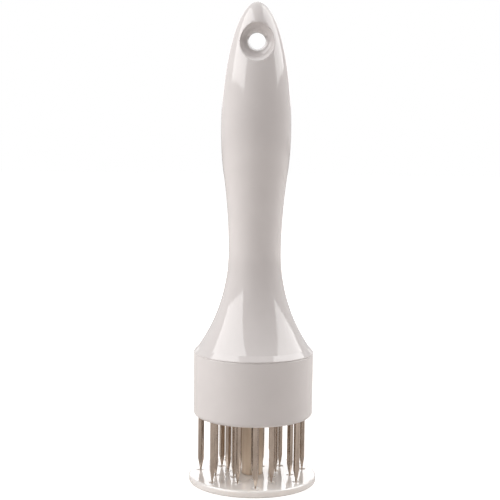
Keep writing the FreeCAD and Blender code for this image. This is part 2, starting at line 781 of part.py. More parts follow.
def cross_recess(name, level, radius_expression="0", angle="0"):
    """Two crossed bars that cut a driver's recess upwards into a screw head."""
    bars = []
    for side, (length, width) in enumerate((("length", "width"), ("width", "length"))):
        bar = primitive(
            "Box", f"{name}_bar_{side}", level,
            Length=f"Sizes.screw_recess_{length}",
            Width=f"Sizes.screw_recess_{width}",
            Height=cell("screw_recess_depth"),
        )
        centre_x = f"{radius_expression} * cos({angle})"
        centre_y = f"{radius_expression} * sin({angle})"
        bar.setExpression("Placement.Base.x", f"{centre_x} - Sizes.screw_recess_{length} / 2")
        bar.setExpression("Placement.Base.y", f"{centre_y} - Sizes.screw_recess_{width} / 2")
        bars.append(bar)
    return fuse(f"{name}_recess", bars)


def make_collar_screws():
    """The collar screws, pan heads down, as one group of separate solids."""
    screws = []
    for position in screw_positions:
        name = f"collar_screw_{position}"
        angle = ring_angle("middle", position)
        head = primitive(
            "Cylinder", f"{name}_head", cell("screw_head_bottom"),
            Radius=cell("screw_head_radius"), Height=cell("screw_head_height"),
        )
        shank = primitive(
            "Cylinder", f"{name}_shank", cell("screw_head_bottom"),
            Radius=cell("screw_radius"), Height=f"{cell('screw_head_height')} + {cell('screw_length')}",
        )
        for piece in (head, shank):
            piece.setExpression("Placement.Base.x", f"Levels.screw_circle * cos({angle})")
            piece.setExpression("Placement.Base.y", f"Levels.screw_circle * sin({angle})")
        recess = cross_recess(name, cell("screw_head_bottom"), "Levels.screw_circle", angle)
        screws.append(cut(name, fuse(f"{name}_blank", [head, shank]), recess))
    group = doc.addObject("Part::Compound", "collar_screws")
    group.Label = "collar_screws"
    group.Links = screws
    return group


def make_post_screw():
    """Countersunk screw from under the plate up into the post."""
    body = new_body("post_screw")
    outline = new_sketch(body, "outline", "XZ_Plane")
    draw_profile(
        outline,
        [
            ("axis", "plate_screw_sink"),
            ("plate_screw_head_radius", "plate_screw_sink"),
            ("plate_screw_radius", "plate_screw_neck"),
            ("plate_screw_radius", "plate_screw_tip"),
            ("axis", "plate_screw_tip"),
        ],
    )
    revolve(body, "blank", outline)
    for side, (across, along) in enumerate((("width", "length"), ("length", "width"))):
        bar = new_sketch(body, f"recess_outline_{side}", level="plate_screw_sink")
        draw_rectangle(
            bar,
            f"Sizes.screw_recess_{across}",
            f"Sizes.screw_recess_{along}",
            value(f"screw_recess_{across}"),
            value(f"screw_recess_{along}"),
        )
        pocket(body, f"recess_{side}", bar, cell("screw_recess_depth"))
    return body


pieces = [make_handle(), make_collar(), make_clamp_disc()]
for ring_name in rings:
    for place in range(int(value("blades_per_ring"))):
        pieces.append(make_blade(ring_name, place))
pieces += [
    make_collar_screws(),
    make_guard_plate(),
    make_guide_post(),
    make_post_screw(),
    make_retaining_ring(),
    make_spring_washer(),
    make_return_spring(),
]
doc.recompute()

# ---------------------------------------------------------------------------------------------
# Checks, then one STEP file for each piece
# ---------------------------------------------------------------------------------------------
for item in doc.Objects:
    if "Invalid" in item.State or "Error" in item.State:
        raise RuntimeError(f"{item.Label} failed: {item.State}")
    if item.TypeId in ("PartDesign::Pocket", "PartDesign::Groove"):
        if item.Shape.Volume > item.BaseFeature.Shape.Volume - 0.001:
            raise RuntimeError(f"{item.Label} cuts nothing")

for piece in pieces:
    if piece.Shape.isNull() or not piece.Shape.isValid():
        raise RuntimeError(f"{piece.Label} has no valid shape")

for piece in pieces:
    piece.Shape.exportStep(f"parts/{piece.Label}.step")
    print(f"{piece.Label}: {len(piece.Shape.Solids)} solid, {piece.Shape.Volume:.1f} mm3")
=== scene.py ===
import math

import bmesh
import bpy
from mathutils import Matrix, Vector
from mathutils.kdtree import KDTree


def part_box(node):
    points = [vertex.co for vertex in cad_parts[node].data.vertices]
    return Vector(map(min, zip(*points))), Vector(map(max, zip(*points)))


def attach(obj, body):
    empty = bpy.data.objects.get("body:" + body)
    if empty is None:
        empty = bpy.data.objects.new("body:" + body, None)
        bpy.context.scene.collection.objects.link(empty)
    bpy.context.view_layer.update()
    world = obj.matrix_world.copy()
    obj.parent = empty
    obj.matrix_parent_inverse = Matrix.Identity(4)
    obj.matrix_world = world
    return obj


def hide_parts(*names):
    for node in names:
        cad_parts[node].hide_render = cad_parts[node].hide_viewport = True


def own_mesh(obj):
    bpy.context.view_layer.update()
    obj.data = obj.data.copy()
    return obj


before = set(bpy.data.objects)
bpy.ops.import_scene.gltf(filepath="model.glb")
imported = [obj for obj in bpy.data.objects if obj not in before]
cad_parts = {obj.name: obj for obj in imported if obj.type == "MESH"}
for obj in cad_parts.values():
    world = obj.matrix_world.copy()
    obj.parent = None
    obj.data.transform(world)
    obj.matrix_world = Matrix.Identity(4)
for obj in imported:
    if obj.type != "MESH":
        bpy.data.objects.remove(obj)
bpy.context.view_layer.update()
mm = 0.001
print("frame loaded:", len(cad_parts), "nodes")


# small helpers for working in object and edit mode
def deselectAll():
    if bpy.context.mode != "OBJECT":
        bpy.ops.object.mode_set(mode="OBJECT")
    bpy.ops.object.select_all(action="DESELECT")


def pick(*pieces):
    deselectAll()
    for piece in pieces:
        piece.select_set(True)
    bpy.context.view_layer.objects.active = pieces[0]
    return pieces[0]


def startEditing(piece, mode="VERT"):
    pick(piece)
    bpy.ops.object.mode_set(mode="EDIT")
    bpy.ops.mesh.select_mode(type=mode)
    bpy.ops.mesh.select_all(action="SELECT")


def stopEditing():
    bpy.ops.object.mode_set(mode="OBJECT")


# selects the verts, edges or faces that pass a test, and says how many there are
def selectWhere(piece, kind, test):
    bpy.ops.mesh.select_all(action="DESELECT")
    shape = bmesh.from_edit_mesh(piece.data)
    found = [part for part in getattr(shape, kind) if test(part)]
    for part in found:
        part.select_set(True)
    bmesh.update_edit_mesh(piece.data)
    return len(found)


def faceOutwards():
    bpy.ops.mesh.select_all(action="SELECT")
    bpy.ops.mesh.normals_make_consistent(inside=False)


def smooth(piece, degrees):
    pick(piece)
    bpy.ops.object.shade_smooth_by_angle(angle=math.radians(degrees))


def applyModifier(piece, kind, **settings):
    pick(piece)
    modifier = piece.modifiers.new(kind.title(), kind)
    for name, setting in settings.items():
        setattr(modifier, name, setting)
    bpy.ops.object.modifier_apply(modifier=modifier.name)


def facesUp(face):
    return face.normal.z > 0.9


def facesDown(face):
    return face.normal.z < -0.9


# extrudes what is selected along Z, in millimetres
def extrude(rise):
    bpy.ops.mesh.extrude_region_move(TRANSFORM_OT_translate={"value": (0, 0, rise * mm)})


# resizes what is selected across Z, about a point of the Z axis at a level in millimetres
def widen(x, y, level=0):
    bpy.ops.transform.resize(value=(x, y, 1), center_override=(0, 0, level * mm))


# cuts the tool out of the piece and throws the tool away
def cutOut(piece, tool):
    applyModifier(piece, "BOOLEAN", operation="DIFFERENCE", solver="EXACT", object=tool)
    bpy.data.objects.remove(tool)


# points of a turned outline in millimetres; a third number rounds that corner
def softOutline(points, steps=5):
    outline = []
    for i, point in enumerate(points):
        if len(point) == 2:
            outline.append(Vector(point))
            continue
        corner, radius = Vector(point[:2]), point[2]
        back = (Vector(points[i - 1][:2]) - corner).normalized()
        ahead = (Vector(points[(i + 1) % len(points)][:2]) - corner).normalized()
        half = back.angle(ahead) / 2
        centre = corner + (back + ahead).normalized() * radius / math.sin(half)
        first = (corner + back * radius / math.tan(half) - centre).normalized()
        last = (corner + ahead * radius / math.tan(half) - centre).normalized()
        for step in range(steps + 1):
            outline.append(centre + first.lerp(last, step / steps).normalized() * radius)
    return outline


# draws the outline point by point and spins it round an axis
def turnPiece(name, outline, steps, centre=(0, 0, 0), axis=(0, 0, 1), across=(1, 0, 0)):
    deselectAll()
    along = Vector(axis)
    places = [Vector(centre) + (Vector(across) * r + along * z) * mm for r, z in outline]
    bpy.ops.mesh.primitive_plane_add(size=mm, location=places[0])
    piece = bpy.context.object
    piece.name = name
    startEditing(piece)
    bpy.ops.mesh.merge(type="CENTER")
    for here, following in zip(places, places[1:]):
        bpy.ops.mesh.extrude_vertices_move(TRANSFORM_OT_translate={"value": following - here})
    bpy.ops.mesh.select_all(action="SELECT")
    bpy.ops.mesh.spin(steps=steps, angle=math.tau, center=centre, axis=axis)
    bpy.ops.mesh.select_all(action="SELECT")
    bpy.ops.mesh.remove_doubles(threshold=0.002 * mm)
    faceOutwards()
    stopEditing()
    settle(piece)
    return piece


# puts the place of an object into its mesh, so that it sits at the origin, unturned
def settle(piece):
    pick(piece)
    bpy.ops.object.transform_apply(location=True, rotation=True, scale=True)


def copyPiece(piece, name):
    pick(piece)
    bpy.ops.object.duplicate(linked=False)
    twin = bpy.context.object
    twin.name = name
    return twin


# turns a piece about an upright axis through the origin and moves it
def placePiece(piece, x, y, degrees):
    startEditing(piece)
    bpy.ops.transform.rotate(value=-math.radians(degrees), orient_axis="Z", center_override=(0, 0, 0))
    bpy.ops.transform.translate(value=(x * mm, y * mm, 0))
    stopEditing()


# a block with its own size and place, in millimetres
def block(name, sizes, middle):
    deselectAll()
    bpy.ops.mesh.primitive_cube_add(size=1, location=Vector(middle) * mm)
    piece = bpy.context.object
    piece.name = name
    piece.scale = Vector(sizes) * mm
    settle(piece)
    return piece


def join(pieces, name):
    pick(*pieces)
    bpy.ops.object.join()
    bpy.context.object.name = name
    return bpy.context.object


def finishPiece(piece, body, material, slot, *nodes):
    piece.data.materials.clear()
    piece.data.materials.append(material)
    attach(piece, body)
    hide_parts(*nodes)
    return piece


# materials
def fromHex(code):
    parts = [int(code[i:i + 2], 16) / 255 for i in (1, 3, 5)]
    return tuple(p / 12.92 if p <= 0.04045 else ((p + 0.055) / 1.055) ** 2.4 for p in parts) + (1.0,)


# adds a node; inputs holds a number, a colour or another node's output for each socket
def addNode(tree, kind, inputs=None, **settings):
    node = tree.nodes.new(kind)
    for name, setting in settings.items():
        setattr(node, name, setting)
    for socket, content in (inputs or {}).items():
        if isinstance(content, bpy.types.NodeSocket):
            tree.links.new(content, node.inputs[socket])
        else:
            node.inputs[socket].default_value = content
    return node


def newMaterial(name):
    material = bpy.data.materials.new(name)
    material.use_nodes = True
    return material, material.node_tree, material.node_tree.nodes["Principled BSDF"]


# noise with spots of a size in millimetres, stretched along Z where a length is given
def spots(tree, size, length=None, detail=3.0, distortion=0.0):
    place = addNode(tree, "ShaderNodeTexCoord").outputs["Object"]
    across = 1 / (size * mm)
    along = across if length is None else 1 / (length * mm)
    mapping = addNode(tree, "ShaderNodeMapping", {"Vector": place, "Scale": (across, across, along)})
    noise = addNode(tree, "ShaderNodeTexNoise",
                    {"Vector": mapping.outputs["Vector"], "Scale": 1.0, "Detail": detail,
                     "Distortion": distortion})
    return noise.outputs["Fac"]


# the part of a noise's values that is spread over a material's range
noiseRange = (0.3, 0.7)


def between(tree, fac, low, high):
    return addNode(tree, "ShaderNodeMapRange",
                   {"Value": fac, "From Min": noiseRange[0], "From Max": noiseRange[1],
                    "To Min": low, "To Max": high}).outputs["Result"]


def shades(tree, fac, first, last):
    ramp = addNode(tree, "ShaderNodeValToRGB", {"Fac": fac})
    for stop, position, code in zip(ramp.color_ramp.elements, noiseRange, (first, last)):
        stop.position = position
        stop.color = fromHex(code)
    return ramp.outputs["Color"]


def bumps(tree, fac, height, strength=1.0):
    return addNode(tree, "ShaderNodeBump", {"Height": fac, "Distance": height * mm, "Strength": strength}
                   ).outputs["Normal"]


# glossy white plastic: near white with a warm cast, mirror-like with a very faint moulding ripple
def glossyWhite(name, first, last, ripple, rough=(0.07, 0.11)):
    material, tree, shader = newMaterial(name)
    tree.links.new(shades(tree, spots(tree, 9.0), first, last), shader.inputs["Base Color"])
    tree.links.new(between(tree, spots(tree, 3.0, detail=4.0), *rough), shader.inputs["Roughness"])
    tree.links.new(bumps(tree, spots(tree, 6.0, detail=1.0), ripple), shader.inputs["Normal"])
    shader.inputs["IOR"].default_value = 1.55
    return material


# bare metal: fine drawn lines of the given length run along Z and break up its gleam
def drawnMetal(name, first, last, lineWidth, lineLength, rough, height):
    material, tree, shader = newMaterial(name)
    lines = spots(tree, lineWidth, lineLength, detail=2.0)
    tree.links.new(shades(tree, spots(tree, 1.5, 6.0), first, last), shader.inputs["Base Color"])
    tree.links.new(between(tree, lines, rough[0], rough[1]), shader.inputs["Roughness"])
    tree.links.new(bumps(tree, lines, height), shader.inputs["Normal"])
    shader.inputs["Metallic"].default_value = 1.0
    return material


# ABS moulded in a polished mould: an even, glossy white that mirrors the studio
whiteAbs = glossyWhite("whiteAbsPlastic", "#dcd7d5", "#dfdad8", 0.003)
# polypropylene moulded in a plain mould: a creamier white with a coarser ripple
whiteDisc = glossyWhite("whitePolypropylene", "#dedad4", "#e6e2dc", 0.02)
# hard white plastic moulded against a mirror finish: the cleanest gloss of all
plateWhite = glossyWhite("polishedWhitePlastic", "#efeae6", "#f2ede9", 0.002, (0.04, 0.07))
# light enters its body and comes out softly under a clear skin
polish = {
    "Coat Weight": 1.0, "Coat Roughness": 0.03, "Coat IOR": 1.6,
    "Subsurface Weight": 0.9, "Subsurface Radius": (1.0, 0.98, 0.96), "Subsurface Scale": 3.0 * mm,
}
for socket, amount in polish.items():
    plateWhite.node_tree.nodes["Principled BSDF"].inputs[socket].default_value = amount
# stainless strip ground along its length: a tan-grey gleam in fine upright lines
bladeSteel = drawnMetal("groundBladeSteel", "#a99c90", "#bfb2a6", 0.2, 8.0, (0.16, 0.28), 0.003)
# brushed stainless rod: a satin tan that spreads its highlights wide
postSteel = drawnMetal("satinPostSteel", "#d6c4b0", "#dccdba", 0.1, 2.0, (0.40, 0.50), 0.001)
# drawn wire and stamped strip of spring steel: a darker, plainer grey with short lines
springSteel = drawnMetal("springSteel", "#8f8c88", "#a19d98", 0.2, 0.8, (0.28, 0.40), 0.004)
# steel plated with zinc in a barrel: pale, a little yellow, and finely uneven
platedScrew = drawnMetal("zincPlatedSteel", "#b8b4a6", "#c6c3b6", 0.3, 0.4, (0.22, 0.36), 0.003)
print("materials made")


# handle: grip, waist and bell in one moulding
handleSizes = {
    "rimRadius": 25.0, "rimTop": 55.35, "rimBottom": 55.0, "rimRound": 0.4, "rimBottomRound": 0.15,
    "lipRadius": 23.15, "lipTop": 57.4, "lipRound": 1.2, "lipBlend": 0.3,
    "shoulderRadius": 24.85, "shoulder": 54.8,
    "spigotRadius": 23.5, "spigotBottom": 39.3, "spigotRound": 0.3,
    "waistRadius": 10.9, "waistLevel": 97.0, "wall": 3.2,
    "gripRadius": 14.5, "gripLevel": 147.0, "gripCurve": 119.0, "domeHeight": 52.6,
    "springSeat": 104.0, "coreRadius": 4.2, "coreTop": 169.8, "coreRound": 4.1,
    "steps": 96,
}
# how finely the outline is drawn; the dome's heights are over the grip's widest level
outlineSteps = {
    "tipTurn": 2.6, "tip": 6,
    "holeTop": 50.0, "holeStep": 0.75, "hole": 38,
    "lowerTop": 22.0, "lowerStep": 2.0, "lower": 11,
    "swell": 9, "waist": 14, "flare": 30, "bell": 20,
}
holeSizes = {
    "level": 183.8, "radius": 3.4, "land": 2.0, "mouthRadius": 4.4, "mouthRound": 0.4,
    "dishFloor": 5.36, "dishRadius": 6.1, "dishAngle": 19.0,
    "bowlRound": 3.0, "bowlStart": 14.0, "bowlSteps": 10,
    "wallStart": 2.6, "wallStep": 0.55, "wallSteps": 9,
    "reach": 17.0, "steps": 72,
}


# levels from one to another in equal steps, without the first
def levelsBetween(start, end, steps):
    return [start + (end - start) * step / steps for step in range(1, steps + 1)]


def handleOutline(sizes, fine):
    waistRadius, waistLevel = sizes["waistRadius"], sizes["waistLevel"]
    gripRadius, gripLevel, gripCurve = sizes["gripRadius"], sizes["gripLevel"], sizes["gripCurve"]
    spread, height = sizes["lipRadius"] - waistRadius, waistLevel - sizes["lipTop"]
    flare = (spread ** 2 + height ** 2) / (2 * spread)
    rise, length = gripRadius - waistRadius, gripLevel - waistLevel
    bothCurves = (length ** 2 + rise ** 2) / (2 * rise)
    waistCurve = bothCurves - gripCurve
    blendLevel = waistLevel + length * waistCurve / bothCurves
    flareEnd = sizes["lipTop"] + sizes["lipBlend"]

    def swellAt(z):
        return gripRadius - gripCurve + math.sqrt(gripCurve ** 2 - (z - gripLevel) ** 2)

    def waistAt(z):
        return waistRadius + waistCurve - math.sqrt(waistCurve ** 2 - (z - waistLevel) ** 2)

    def flareAt(z, curve=flare):
        return waistRadius + flare - math.sqrt(curve ** 2 - (waistLevel - z) ** 2)

    outline = [Vector((0, gripLevel + sizes["domeHeight"]))]
    rises = [sizes["domeHeight"] * math.sin(math.radians(90 - fine["tipTurn"] * step))
             for step in range(1, fine["tip"] + 1)]
    # finer where the hang hole goes through
    rises += [fine["holeTop"] - fine["holeStep"] * step for step in range(fine["hole"])]
    rises += [fine["lowerTop"] - fine["lowerStep"] * step for step in range(1, fine["lower"] + 1)]
    for above in rises:                                      # dome, from its tip down
        around = math.sqrt(1 - (above / sizes["domeHeight"]) ** 2)
        outline.append(Vector((gripRadius * around, gripLevel + above)))
    for z in levelsBetween(gripLevel, blendLevel, fine["swell"]):
        outline.append(Vector((swellAt(z), z)))
    for z in levelsBetween(blendLevel, waistLevel, fine["waist"]):
        outline.append(Vector((waistAt(z), z)))
    for z in levelsBetween(waistLevel, flareEnd, fine["flare"]):
        outline.append(Vector((flareAt(z), z)))

    inner = flare + sizes["wall"]                            # the bell's inside is one wall in
    rim = softOutline([                                      # lip, rim, shoulder and spigot
        (flareAt(flareEnd), flareEnd), (sizes["lipRadius"], sizes["lipTop"], sizes["lipRound"]),
        (sizes["rimRadius"], sizes["rimTop"], sizes["rimRound"]),
        (sizes["rimRadius"], sizes["rimBottom"], sizes["rimBottomRound"]),
        (sizes["shoulderRadius"], sizes["rimBottom"]), (sizes["shoulderRadius"], sizes["shoulder"]),
        (sizes["spigotRadius"], sizes["shoulder"]),
        (sizes["spigotRadius"], sizes["spigotBottom"], sizes["spigotRound"]),
        (flareAt(sizes["lipTop"], inner), sizes["spigotBottom"])])
    outline += rim[1:]
    for z in [sizes["lipTop"], *levelsBetween(sizes["lipTop"], waistLevel, fine["bell"])]:
        outline.append(Vector((flareAt(z, inner), z)))
    bore, core = waistRadius - sizes["wall"], sizes["coreRadius"]
    outline += softOutline([(bore, sizes["springSeat"]), (core, sizes["springSeat"]),
                            (core, sizes["coreTop"], sizes["coreRound"]), (0, sizes["coreTop"])])
    outline[-1] = Vector((0, sizes["coreTop"]))
    return outline


# one dish, its round floor and then its slanting wall, as radii and distances from the middle
def dishOutline(hole):
    bowlLength = hole["bowlRound"] * math.tan(math.radians(45 - hole["dishAngle"] / 2))
    bowlMiddle = Vector((hole["dishRadius"] - bowlLength, hole["dishFloor"] + hole["bowlRound"]))
    bowlTurn = 90 - hole["dishAngle"] - hole["bowlStart"]
    dish = []
    for step in range(hole["bowlSteps"]):
        angle = math.radians(hole["bowlStart"] + bowlTurn * step / (hole["bowlSteps"] - 1))
        dish.append(tuple(bowlMiddle + Vector((math.sin(angle), -math.cos(angle))) * hole["bowlRound"]))
    rises = [hole["wallStart"] + hole["wallStep"] * step for step in range(hole["wallSteps"])]
    for rise in [*rises, hole["reach"] - hole["dishFloor"]]:
        radius = hole["dishRadius"] + rise * math.tan(math.radians(hole["dishAngle"]))
        dish.append((radius, hole["dishFloor"] + rise))
    return dish


def holeOutline(hole):
    mouth = (hole["mouthRadius"], hole["dishFloor"], hole["mouthRound"])
    front = [(hole["radius"], hole["land"]), mouth, *dishOutline(hole), (0, hole["reach"])]
    rear = [(point[0], -point[1], *point[2:]) for point in reversed(front)]
    return softOutline(rear + front)


handle = turnPiece("handleShell", handleOutline(handleSizes, outlineSteps), handleSizes["steps"])
holeTool = turnPiece("holeTool", holeOutline(holeSizes), holeSizes["steps"],
                     (0, 0, holeSizes["level"] * mm), (0, 1, 0))
cutOut(handle, holeTool)


# the edge where the dishes break through the dome: where it is found, and how it is eased
dishEdgeSizes = {
    "sharpness": 28.0, "fromHole": 6.3, "fromMiddle": 5.5, "above": 165.0,
    "finerWithin": 1.7, "easedWithin": 0.75, "factor": 0.5, "passes": 12,
}


def onDishEdge(edge):
    if len(edge.link_faces) != 2 or edge.calc_face_angle() < math.radians(dishEdgeSizes["sharpness"]):
        return False
    middle = (edge.verts[0].co + edge.verts[1].co) / 2
    fromHole = math.hypot(middle.x, middle.z - holeSizes["level"] * mm)
    outside = fromHole > dishEdgeSizes["fromHole"] * mm and abs(middle.y) > dishEdgeSizes["fromMiddle"] * mm
    return outside and middle.z > dishEdgeSizes["above"] * mm


# selects what lies within a reach of some points, in edit mode
def selectNear(piece, kind, tree, reach):
    def middle(part):
        return part.co if kind == "verts" else part.calc_center_median()
    return selectWhere(piece, kind, lambda part: tree.find(middle(part))[2] < reach)


# gives the edge a finer mesh and eases it into a round
startEditing(handle, "EDGE")
print("dish edges:", selectWhere(handle, "edges", onDishEdge))
edgePoints = [v.co.copy() for v in bmesh.from_edit_mesh(handle.data).verts if v.select]
dishEdge = KDTree(len(edgePoints))
for i, place in enumerate(edgePoints):
    dishEdge.insert(place, i)
dishEdge.balance()
bpy.ops.mesh.select_mode(type="FACE")
selectNear(handle, "faces", dishEdge, dishEdgeSizes["finerWithin"] * mm)
bpy.ops.mesh.quads_convert_to_tris(quad_method="BEAUTY", ngon_method="BEAUTY")
bpy.ops.mesh.subdivide(number_cuts=1)
bpy.ops.mesh.select_mode(type="VERT")
selectNear(handle, "verts", dishEdge, dishEdgeSizes["easedWithin"] * mm)
bpy.ops.mesh.vertices_smooth(factor=dishEdgeSizes["factor"], repeat=dishEdgeSizes["passes"])
faceOutwards()
stopEditing()

smooth(handle, 35)
finishPiece(handle, "tool", whiteAbs, "white_abs", "handle")
print("handle done")


# blades, slots and screws share these places
ringAngle = 273.7
ringSizes = {
    "outer": {"radius": 22.2, "angle": ringAngle},
    "middle": {"radius": 16.0, "angle": ringAngle + 180 / 7},
    "inner": {"radius": 10.4, "angle": ringAngle},
    "perRing": 7, "turn": -29.0,
}
screwRing = {"radius": 20.8, "positions": (0, 2, 5)}


def bladePlaces():
    for ring in ("outer", "middle", "inner"):
        for number in range(ringSizes["perRing"]):
            angle = ringSizes[ring]["angle"] + number * 360 / ringSizes["perRing"]
            x, y = (ringSizes[ring]["radius"] * f(math.radians(angle)) for f in (math.cos, math.sin))
            yield ring, number + 1, x, y, angle + ringSizes["turn"]


# the screws stand outside the middle ring, in line with three of its blades
def screwPlaces():
    for position in screwRing["positions"]:
        angle = ringSizes["middle"]["angle"] + position * 360 / ringSizes["perRing"]
        x, y = (screwRing["radius"] * f(math.radians(angle)) for f in (math.cos, math.sin))
        yield x, y, angle


# copies a cutting tool to every blade's place and joins the copies
def toolAtBlades(tool):
    tools = []
    for _, _, x, y, angle in bladePlaces():
        twin = copyPiece(tool, "slotTool")
        placePiece(twin, x, y, angle)
        tools.append(twin)
    bpy.data.objects.remove(tool)
    return join(tools, "slotTools")


# collar: a cup with a thick floor that guides the blades
collarSizes = {
    "radius": 25.0, "bottom": 28.3, "top": 54.8, "bottomRound": 1.8, "topRound": 0.35,
    "innerRadius": 23.7, "floorTop": 36.3, "boreRadius": 4.56, "innerRound": 0.2, "roundSteps": 8,
    "slot": (1.88, 2.08), "slotHeight": 9.0, "slotMiddle": 32.1,
    "recess": (1.88, 3.08), "recessBottom": 35.1, "recessHeight": 3.0,
    "sinkRadius": 2.6, "sinkDepth": 2.5, "screwHole": 1.45,
    "sinkStart": 27.0, "holeEnd": 38.0, "sinkSteps": 40, "steps": 128,
}


def collarOutline(cup):
    outline = softOutline([
        (cup["boreRadius"], cup["bottom"], cup["innerRound"]),
        (cup["radius"], cup["bottom"], cup["bottomRound"]),
        (cup["radius"], cup["top"], cup["topRound"]),
        (cup["innerRadius"], cup["top"], cup["innerRound"]),
        (cup["innerRadius"], cup["floorTop"]), (cup["boreRadius"], cup["floorTop"])], cup["roundSteps"])
    return outline + outline[:1]


# a blade's slot with the wider recess of its head above
def collarSlotTool(cup):
    tool = block("slotTool", (*cup["slot"], cup["slotHeight"]), (0, 0, cup["slotMiddle"]))
    slotTop = cup["slotMiddle"] + cup["slotHeight"] / 2
    startEditing(tool, "FACE")
    selectWhere(tool, "faces", facesUp)
    bpy.ops.transform.translate(value=(0, 0, (cup["recessBottom"] - slotTop) * mm))
    extrude(0)
    widen(1, cup["recess"][1] / cup["slot"][1])
    extrude(cup["recessHeight"])
    faceOutwards()
    stopEditing()
    return tool


# a screw's hole with the sink of its head below
def sinkOutline(cup):
    sinkTop = cup["bottom"] + cup["sinkDepth"]
    corners = [(0, cup["sinkStart"]), (cup["sinkRadius"], cup["sinkStart"]), (cup["sinkRadius"], sinkTop),
               (cup["screwHole"], sinkTop), (cup["screwHole"], cup["holeEnd"]), (0, cup["holeEnd"])]
    return [Vector(corner) for corner in corners]


collar = turnPiece("collarCup", collarOutline(collarSizes), collarSizes["steps"])
cutOut(collar, toolAtBlades(collarSlotTool(collarSizes)))
for x, y, _ in screwPlaces():
    sink = turnPiece("sinkTool", sinkOutline(collarSizes), collarSizes["sinkSteps"])
    placePiece(sink, x, y, 0)
    cutOut(collar, sink)
smooth(collar, 30)
finishPiece(collar, "tool", whiteAbs, "white_abs", "collar")
print("collar done")


# blades: one is made and copied to every place
bladeSizes = {
    "width": 1.8, "thickness": 2.0, "headThickness": 3.0, "tip": 0.3, "tipLevel": 2.4,
    "pointTop": 8.0, "headBottom": 35.1, "top": 36.3,
    "edge": 0.36, "edgeSteps": 4, "edgeSharpness": 50.0,
}


def onBladeEdge(edge):
    sharpness = math.radians(bladeSizes["edgeSharpness"])
    return len(edge.link_faces) == 2 and edge.calc_face_angle() > sharpness


def makeBlade(sizes):
    length = sizes["headBottom"] - sizes["pointTop"]
    middle = (sizes["headBottom"] + sizes["pointTop"]) / 2
    blade = block("bladePattern", (sizes["width"], sizes["thickness"], length), (0, 0, middle))
    startEditing(blade, "FACE")
    selectWhere(blade, "faces", facesDown)                   # ground point
    extrude(sizes["tipLevel"] - sizes["pointTop"])
    widen(sizes["tip"] / sizes["width"], sizes["tip"] / sizes["thickness"], sizes["tipLevel"])
    selectWhere(blade, "faces", facesUp)                     # wider head
    extrude(0)
    widen(1, sizes["headThickness"] / sizes["thickness"])
    extrude(sizes["top"] - sizes["headBottom"])
    faceOutwards()
    bpy.ops.mesh.select_mode(type="EDGE")
    selectWhere(blade, "edges", onBladeEdge)
    bpy.ops.mesh.bevel(offset=sizes["edge"] * mm, segments=sizes["edgeSteps"], profile=0.5,
                       affect="EDGES", clamp_overlap=True)
    faceOutwards()
    stopEditing()
    smooth(blade, 40)
    return blade


blade = makeBlade(bladeSizes)
for ring, number, x, y, angle in bladePlaces():
    twin = copyPiece(blade, "blade" + ring.title() + str(number))
    placePiece(twin, x, y, angle)
    finishPiece(twin, "tool", bladeSteel, "blade_steel", f"blade_{ring}_{number}")
bpy.data.objects.remove(blade)
print("blades done")


# guard plate: polished disc with a slot for each blade
plateSizes = {
    "radius": 26.75, "thickness": 3.0, "edgeRound": 0.8, "slot": (2.5, 2.7), "slotEdge": 0.12,
    "slotReach": 1.0, "holeRadius": 2.1, "sinkRadius": 3.9, "sinkDepth": 1.8,
    "roundSteps": 8, "steps": 128,
}


def plateOutline(disc):
    outline = softOutline([
        (disc["sinkRadius"], 0), (disc["radius"], 0, disc["edgeRound"]),
        (disc["radius"], disc["thickness"], disc["edgeRound"]),
        (disc["holeRadius"], disc["thickness"]), (disc["holeRadius"], disc["sinkDepth"])],
        disc["roundSteps"])
    return outline + outline[:1]


# a slot with a small chamfer at both mouths
def plateSlotTool(disc):
    edge = disc["slotEdge"]
    tool = block("slotTool", (*disc["slot"], disc["thickness"] - 2 * edge), (0, 0, disc["thickness"] / 2))
    startEditing(tool, "FACE")
    for side, mouth in ((1, facesUp), (-1, facesDown)):
        selectWhere(tool, "faces", mouth)
        extrude(side * edge)
        widen(*[1 + 2 * edge / width for width in disc["slot"]])
        selectWhere(tool, "faces", mouth)
        extrude(side * disc["slotReach"])
    faceOutwards()
    stopEditing()
    return tool


plate = turnPiece("guardPlate", plateOutline(plateSizes), plateSizes["steps"])
cutOut(plate, toolAtBlades(plateSlotTool(plateSizes)))
smooth(plate, 30)
finishPiece(plate, "presser", plateWhite, "white_gloss", "guard_plate")
print("guard plate done")


# guide post, with the groove for its ring
postSizes = {
    "radius": 4.5, "bottom": 3.0, "grooveBottom": 39.35, "grooveTop": 40.45, "grooveRadius": 3.8,
    "top": 60.4, "chamfer": 0.6, "threadRadius": 2.05, "threadTop": 14.0,
    "grooveRound": 0.1, "footRound": 0.15, "roundSteps": 3, "steps": 64,
}


def postOutline(rod):
    return softOutline([
        (0, rod["top"]), (rod["radius"] - rod["chamfer"], rod["top"]),
        (rod["radius"], rod["top"] - rod["chamfer"]),
        (rod["radius"], rod["grooveTop"], rod["grooveRound"]), (rod["grooveRadius"], rod["grooveTop"]),
        (rod["grooveRadius"], rod["grooveBottom"]),
        (rod["radius"], rod["grooveBottom"], rod["grooveRound"]),
        (rod["radius"], rod["bottom"], rod["footRound"]),
        (rod["threadRadius"], rod["bottom"], rod["footRound"]),
        (rod["threadRadius"], rod["threadTop"]), (0, rod["threadTop"])], rod["roundSteps"])


post = turnPiece("guidePost", postOutline(postSizes), postSizes["steps"])
smooth(post, 30)
finishPiece(post, "presser", postSteel, "post_steel", "guide_post")


